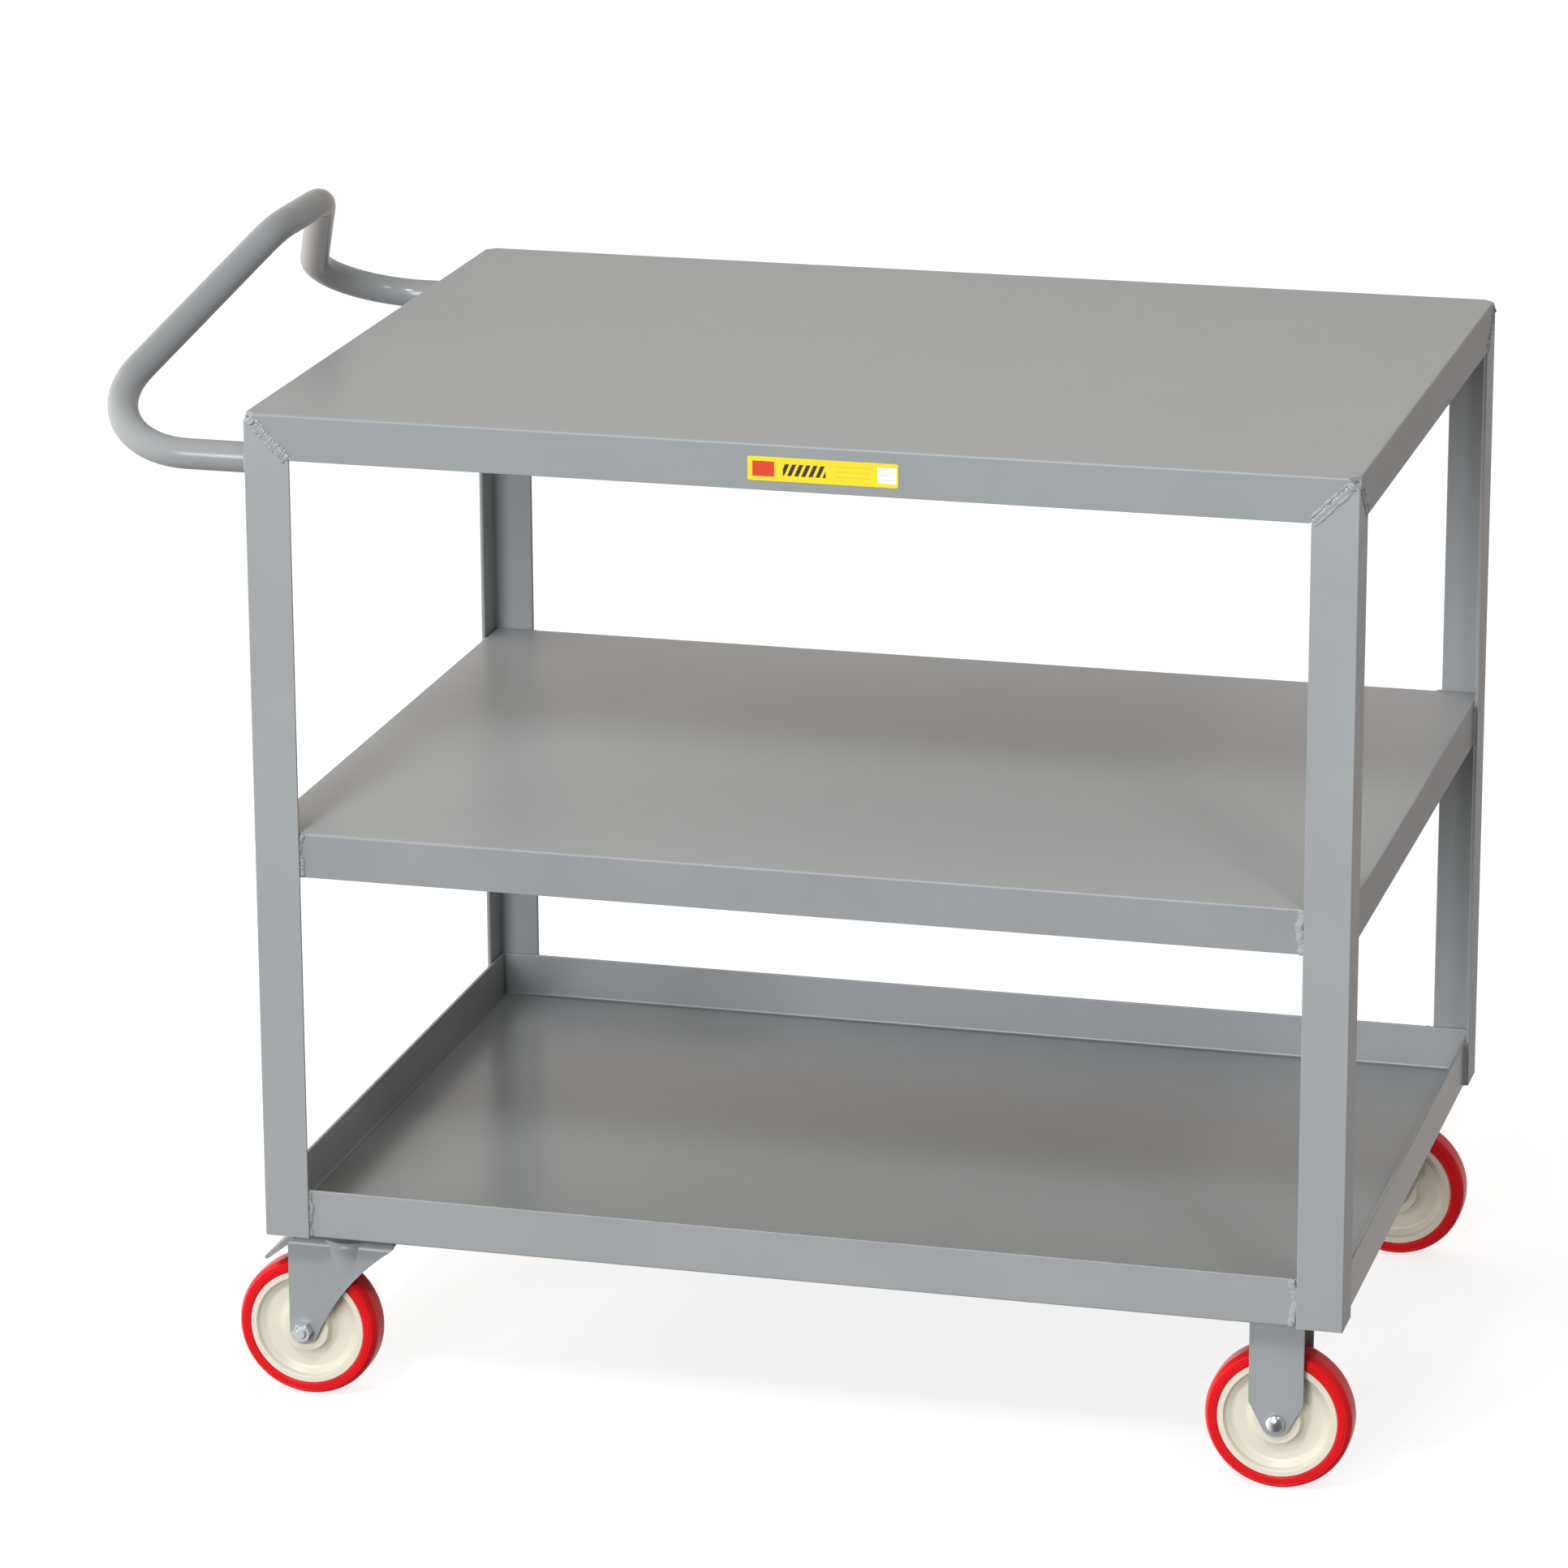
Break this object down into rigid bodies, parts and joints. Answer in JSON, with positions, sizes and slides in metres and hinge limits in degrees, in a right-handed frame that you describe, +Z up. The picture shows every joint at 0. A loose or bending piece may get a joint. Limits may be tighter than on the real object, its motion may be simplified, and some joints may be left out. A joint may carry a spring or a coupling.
{
  "type": "tool cart",
  "caption": "Welded steel tool cart with flush top and middle shelves, a lipped bottom tray, a bent tube push handle, swivel casters at the handle end and rigid casters at the other",
  "frame": {"origin": "on the floor, under the middle of the whole cart's bounding box", "axes": "+X from the handle end to the rigid casters, +Y to the left, +Z up"},
  "size_m": [1.0611, 0.661, 0.9702],
  "materials": {
    "grey_enamel": "semi-gloss baked enamel with a fine orange peel",
    "zinc_plate": "bright zinc plate",
    "bearing_steel": "hardened steel, greased",
    "red_polyurethane": "glossy moulded polyurethane",
    "cream_polyolefin": "satin moulded plastic",
    "white_nylon": "natural nylon",
    "yellow_film": "printed film label"
  },
  "bodies": {
    "frame": {"top_shelf": "grey_enamel", "middle_shelf": "grey_enamel", "bottom_tray": "grey_enamel", "post_front_left": "grey_enamel", "post_front_right": "grey_enamel", "post_rear_left": "grey_enamel", "post_rear_right": "grey_enamel", "push_handle": "grey_enamel", "rim_label": "yellow_film", "front_left_rigid_fork": "grey_enamel", "front_left_axle_sleeve": "zinc_plate", "front_left_axle_bolt": "zinc_plate", "front_left_axle_nut": "zinc_plate", "front_right_rigid_fork": "grey_enamel", "front_right_axle_sleeve": "zinc_plate", "front_right_axle_bolt": "zinc_plate", "front_right_axle_nut": "zinc_plate", "rear_left_swivel_plate": "grey_enamel", "rear_left_king_bolt": "zinc_plate", "rear_left_king_nut": "zinc_plate", "rear_left_lower_race": "zinc_plate", "rear_right_swivel_plate": "grey_enamel", "rear_right_king_bolt": "zinc_plate", "rear_right_king_nut": "zinc_plate", "rear_right_lower_race": "zinc_plate"},
    "front_left_wheel": {"front_left_wheel_core": "cream_polyolefin", "front_left_wheel_tread": "red_polyurethane", "front_left_hub_bushing": "white_nylon"},
    "front_right_wheel": {"front_right_wheel_core": "cream_polyolefin", "front_right_wheel_tread": "red_polyurethane", "front_right_hub_bushing": "white_nylon"},
    "rear_left_swivel": {"rear_left_swivel_fork": "grey_enamel", "rear_left_race_balls": "bearing_steel", "rear_left_lower_balls": "bearing_steel", "rear_left_axle_sleeve": "zinc_plate", "rear_left_axle_bolt": "zinc_plate", "rear_left_axle_nut": "zinc_plate"},
    "rear_left_wheel": {"rear_left_wheel_core": "cream_polyolefin", "rear_left_wheel_tread": "red_polyurethane", "rear_left_hub_bushing": "white_nylon"},
    "rear_right_swivel": {"rear_right_swivel_fork": "grey_enamel", "rear_right_race_balls": "bearing_steel", "rear_right_lower_balls": "bearing_steel", "rear_right_axle_sleeve": "zinc_plate", "rear_right_axle_bolt": "zinc_plate", "rear_right_axle_nut": "zinc_plate"},
    "rear_right_wheel": {"rear_right_wheel_core": "cream_polyolefin", "rear_right_wheel_tread": "red_polyurethane", "rear_right_hub_bushing": "white_nylon"}
  },
  "joints": [
    {"name": "front_left_roll", "type": "hinge", "parent": "frame", "child": "front_left_wheel", "pos_m": [0.47065, 0.279, 0.06125], "axis": [0, 1, 0], "continuous": true},
    {"name": "front_right_roll", "type": "hinge", "parent": "frame", "child": "front_right_wheel", "pos_m": [0.47065, -0.279, 0.06125], "axis": [0, 1, 0], "continuous": true},
    {"name": "rear_left_swivel", "type": "hinge", "parent": "frame", "child": "rear_left_swivel", "pos_m": [-0.32635, 0.279, 0.14], "axis": [0, 0, 1], "continuous": true},
    {"name": "rear_left_roll", "type": "hinge", "parent": "rear_left_swivel", "child": "rear_left_wheel", "pos_m": [-0.36385, 0.279, 0.06125], "axis": [0, 1, 0], "continuous": true},
    {"name": "rear_right_swivel", "type": "hinge", "parent": "frame", "child": "rear_right_swivel", "pos_m": [-0.32635, -0.279, 0.14], "axis": [0, 0, 1], "continuous": true},
    {"name": "rear_right_roll", "type": "hinge", "parent": "rear_right_swivel", "child": "rear_right_wheel", "pos_m": [-0.36385, -0.279, 0.06125], "axis": [0, 1, 0], "continuous": true}
  ]
}
